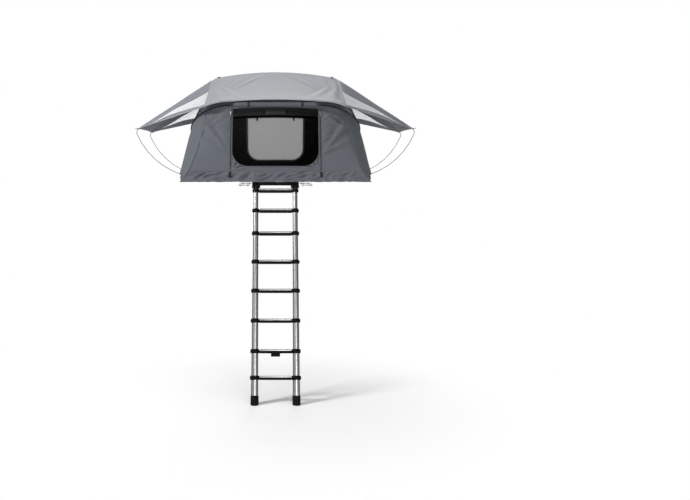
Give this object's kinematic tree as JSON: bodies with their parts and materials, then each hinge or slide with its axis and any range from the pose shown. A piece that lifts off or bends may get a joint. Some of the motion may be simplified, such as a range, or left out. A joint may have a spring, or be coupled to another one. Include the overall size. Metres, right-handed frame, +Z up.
{
  "type": "roof top tent with telescopic ladder",
  "caption": "Fold-out roof top tent, open, with grey canopy, pale rain fly with two awnings, door zipped back, and a telescopic ladder leaning from its hinged base.",
  "frame": {"origin": "middle of the roof bar clamps, at the mounting rails' underside", "axes": "+Z up; -Y from the fixed half towards the folding half and the ladder; X along the fold line, positive to the right when facing the door"},
  "size_m": [3.0216, 3.0899, 3.2367],
  "materials": {
    "anodised_aluminium": "satin anodised",
    "sandwich_board": "satin",
    "black_steel": "satin",
    "zinc_steel": "zinc plated",
    "bow_aluminium": "satin",
    "spring_steel": "bright",
    "canopy_fabric": "matt woven",
    "fly_fabric": "coated, slightly glossy",
    "window_mesh": "fine net",
    "mattress_fabric": "matt woven",
    "zip_tape": "matt woven",
    "nickel": "bright",
    "black_plastic": "moulded",
    "black_rubber": "matt"
  },
  "bodies": {
    "fixed_base": {"mounting_rails": "anodised_aluminium", "clamp_bolts": "zinc_steel", "clamp_plates": "black_steel", "clamp_nuts": "zinc_steel", "fixed_frame": "anodised_aluminium", "fixed_board": "sandwich_board", "fixed_hinge_plates": "black_steel", "hinge_pins": "zinc_steel", "far_bow_pins": "zinc_steel", "fixed_mattress": "mattress_fabric", "far_rod_sockets": "black_plastic", "far_awning_rods": "spring_steel", "rear_wall": "canopy_fabric", "rear_window_mesh": "window_mesh", "far_side_left": "canopy_fabric", "far_side_right": "canopy_fabric", "far_roof": "canopy_fabric", "far_fly": "fly_fabric"},
    "folding_base": {"folding_frame": "anodised_aluminium", "folding_board": "sandwich_board", "folding_hinge_plates": "black_steel", "near_bow_pins": "zinc_steel", "folding_mattress": "mattress_fabric", "near_rod_sockets": "black_plastic", "near_awning_rods": "spring_steel", "front_wall": "canopy_fabric", "door_roll": "canopy_fabric", "near_side_left": "canopy_fabric", "near_side_right": "canopy_fabric", "near_roof": "canopy_fabric", "near_fly": "fly_fabric", "door_zips": "zip_tape", "hem_tabs": "zip_tape", "ladder_brackets": "black_plastic", "ladder_pivot_pins": "zinc_steel", "ladder_cross_bar": "black_plastic"},
    "near_bow": {"near_bow": "bow_aluminium"},
    "ridge_bow": {"ridge_bow": "bow_aluminium"},
    "far_bow": {"far_bow": "bow_aluminium"},
    "zip_slider_left": {"zip_slider_left": "nickel"},
    "zip_slider_right": {"zip_slider_right": "nickel"},
    "release_tab": {"release_tab": "black_plastic"},
    "ladder_1": {"ladder_tubes_1": "anodised_aluminium", "ladder_rung_1": "black_plastic"},
    "ladder_2": {"ladder_tubes_2": "anodised_aluminium", "ladder_rung_2": "black_plastic"},
    "ladder_3": {"ladder_tubes_3": "anodised_aluminium", "ladder_rung_3": "black_plastic"},
    "ladder_4": {"ladder_tubes_4": "anodised_aluminium", "ladder_rung_4": "black_plastic"},
    "ladder_5": {"ladder_tubes_5": "anodised_aluminium", "ladder_rung_5": "black_plastic"},
    "ladder_6": {"ladder_tubes_6": "anodised_aluminium", "ladder_rung_6": "black_plastic"},
    "ladder_7": {"ladder_tubes_7": "anodised_aluminium", "ladder_rung_7": "black_plastic"},
    "ladder_8": {"ladder_tubes_8": "anodised_aluminium", "ladder_rung_8": "black_plastic", "ladder_feet": "black_rubber"}
  },
  "joints": [
    {"name": "base_fold", "type": "hinge", "parent": "fixed_base", "child": "folding_base", "pos_m": [0, -0.6, 0.19], "axis": [-1, 0, 0], "range_deg": [0, 180], "deforming": ["front_wall", "rear_wall", "rear_window_mesh", "near_side_left", "near_side_right", "far_side_left", "far_side_right", "near_roof", "far_roof", "near_fly", "far_fly", "near_awning_rods", "far_awning_rods", "door_roll", "door_zips", "hem_tabs", "zip_slider_left", "zip_slider_right"]},
    {"name": "near_bow", "type": "hinge", "parent": "folding_base", "child": "near_bow", "pos_m": [0, -0.655, 0.164], "axis": [1, 0, 0], "range_deg": [0, 33.6]},
    {"name": "ridge_bow", "type": "hinge", "parent": "fixed_base", "child": "ridge_bow", "pos_m": [0, -0.6, 0.19], "axis": [-1, 0, 0], "range_deg": [0, 90.1]},
    {"name": "far_bow", "type": "hinge", "parent": "fixed_base", "child": "far_bow", "pos_m": [0, -0.545, 0.164], "axis": [-1, 0, 0], "range_deg": [0, 33.6]},
    {"name": "ladder_swing", "type": "hinge", "parent": "folding_base", "child": "ladder_1", "pos_m": [0, -1.82, -0.014], "axis": [-1, 0, 0], "range_deg": [0, 73.7]},
    {"name": "ladder_slide_2", "type": "slide", "parent": "ladder_1", "child": "ladder_2", "axis": [0, 0.2807, 0.9598], "range_m": [0, 0.14]},
    {"name": "ladder_slide_3", "type": "slide", "parent": "ladder_2", "child": "ladder_3", "axis": [0, 0.2807, 0.9598], "range_m": [0, 0.1642]},
    {"name": "ladder_slide_4", "type": "slide", "parent": "ladder_3", "child": "ladder_4", "axis": [0, 0.2807, 0.9598], "range_m": [0, 0.2152]},
    {"name": "ladder_slide_5", "type": "slide", "parent": "ladder_4", "child": "ladder_5", "axis": [0, 0.2807, 0.9598], "range_m": [0, 0.2152]},
    {"name": "ladder_slide_6", "type": "slide", "parent": "ladder_5", "child": "ladder_6", "axis": [0, 0.2807, 0.9598], "range_m": [0, 0.2182]},
    {"name": "ladder_slide_7", "type": "slide", "parent": "ladder_6", "child": "ladder_7", "axis": [0, 0.2807, 0.9598], "range_m": [0, 0.2182]},
    {"name": "ladder_slide_8", "type": "slide", "parent": "ladder_7", "child": "ladder_8", "axis": [0, 0.2807, 0.9598], "range_m": [0, 0.1602]},
    {"name": "ladder_release", "type": "slide", "parent": "ladder_7", "child": "release_tab", "axis": [0, 0.2807, 0.9598], "range_m": [0, 0.008]},
    {"name": "zip_left", "type": "slide", "parent": "folding_base", "child": "zip_slider_left", "axis": [0, -0.2886, -0.9575], "range_m": [0, 0.54]},
    {"name": "zip_right", "type": "slide", "parent": "folding_base", "child": "zip_slider_right", "axis": [0, -0.2886, -0.9575], "range_m": [0, 0.54]}
  ],
  "couplings": [
    {"joint": "near_bow", "follows": "base_fold", "ratio": 0.18611},
    {"joint": "ridge_bow", "follows": "base_fold", "ratio": 0.5},
    {"joint": "far_bow", "follows": "base_fold", "ratio": 0.18611},
    {"joint": "ladder_slide_3", "follows": "ladder_slide_2", "ratio": 1.1714},
    {"joint": "ladder_slide_4", "follows": "ladder_slide_2", "ratio": 1.5357},
    {"joint": "ladder_slide_5", "follows": "ladder_slide_2", "ratio": 1.5357},
    {"joint": "ladder_slide_6", "follows": "ladder_slide_2", "ratio": 1.5571},
    {"joint": "ladder_slide_7", "follows": "ladder_slide_2", "ratio": 1.5571},
    {"joint": "ladder_slide_8", "follows": "ladder_slide_2", "ratio": 1.1429}
  ]
}
